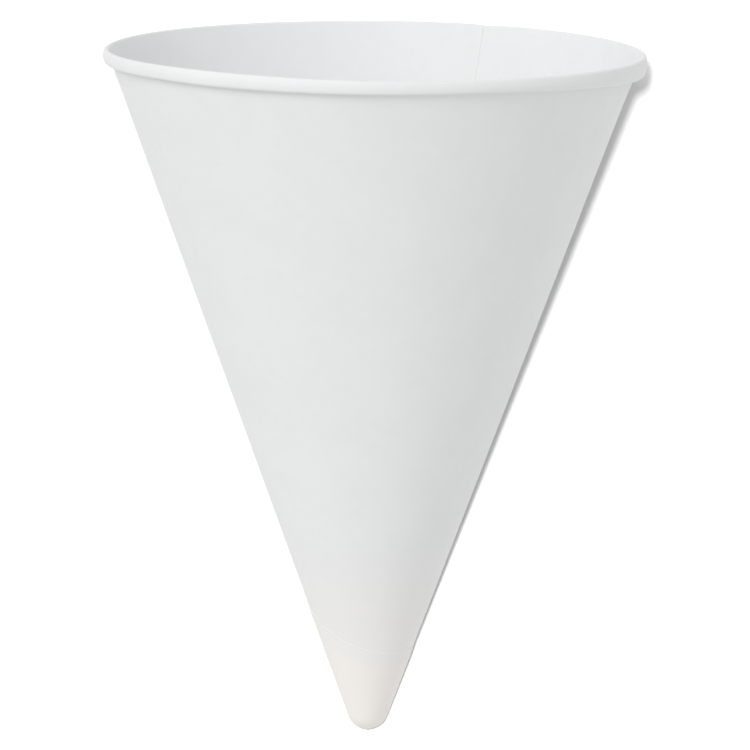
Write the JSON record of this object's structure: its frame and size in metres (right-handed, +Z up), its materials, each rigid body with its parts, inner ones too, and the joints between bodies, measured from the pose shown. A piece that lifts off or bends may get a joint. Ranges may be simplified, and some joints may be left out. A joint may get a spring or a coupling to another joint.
{
  "type": "cone paper cup",
  "caption": "White paper cone cup wound from a flat blank, with a glued overlap seam, a wrapped rounded tip and a rim rolled outwards.",
  "frame": {"origin": "on the floor under the middle of the cup as it lies on its seam", "axes": "+Z up; +Y level, from the tip towards the mouth, with the cup's own axis raised 20.4 degrees from it; +X across the mouth"},
  "size_m": [0.0722, 0.0978, 0.0674],
  "materials": {
    "paper": "matt white uncoated cup paper"
  },
  "bodies": {
    "root": {"cup": "paper"}
  },
  "joints": []
}
